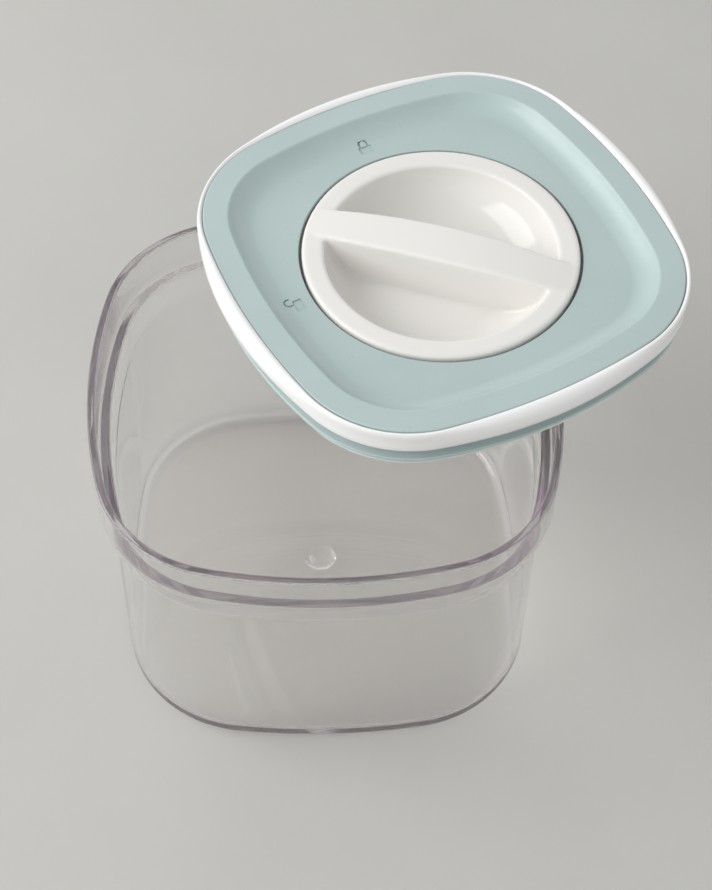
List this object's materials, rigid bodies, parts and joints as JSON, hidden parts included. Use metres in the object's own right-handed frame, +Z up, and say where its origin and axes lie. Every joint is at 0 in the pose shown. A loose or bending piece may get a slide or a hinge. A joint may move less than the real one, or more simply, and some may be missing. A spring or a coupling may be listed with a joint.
{
  "type": "vacuum seal canister",
  "caption": "Clear square food canister with a twist-to-seal lid resting open on its rim; turning the recessed knob lifts a plate that squeezes the gasket.",
  "frame": {"origin": "middle of the canister's flat base", "axes": "+Z up through the canister; -Y is the canister side that faces the camera of the picture, +X its right"},
  "size_m": [0.1903, 0.1891, 0.1301],
  "materials": {
    "clear_plastic": "clear glossy plastic",
    "white_plastic": "glossy",
    "teal_plastic": "satin",
    "knob_plastic": "glossy",
    "gasket_rubber": "satin",
    "plate_plastic": "glossy",
    "bearing_plastic": "satin",
    "steel": "satin"
  },
  "bodies": {
    "canister_body": {"canister": "clear_plastic"},
    "lid": {"lid_frame": "white_plastic", "top_cover": "teal_plastic", "cover_screws": "steel", "slip_ring": "bearing_plastic", "knob_seal_ring": "gasket_rubber", "gasket": "gasket_rubber"},
    "knob_body": {"knob": "knob_plastic", "cam_ring": "bearing_plastic", "cam_screws": "steel"},
    "plate": {"pressure_plate": "plate_plastic", "lift_ring": "bearing_plastic", "lift_pins": "steel", "lift_ring_screws": "steel"}
  },
  "joints": [
    {"name": "lid_lift", "type": "slide", "parent": "canister_body", "child": "lid", "axis": [0, 0, 1], "range_m": [0, 0.08]},
    {"name": "knob_turn", "type": "hinge", "parent": "lid", "child": "knob_body", "pos_m": [0.0378, 0.0366, 0.1244], "axis": [0, 0, 1], "range_deg": [-90, 0]},
    {"name": "plate_lift", "type": "slide", "parent": "lid", "child": "plate", "axis": [0, 0, 1], "range_m": [0, 0.002], "deforming": ["gasket"]}
  ],
  "couplings": [
    {"joint": "plate_lift", "follows": "knob_turn", "m_per_rad": -0.0012732}
  ]
}
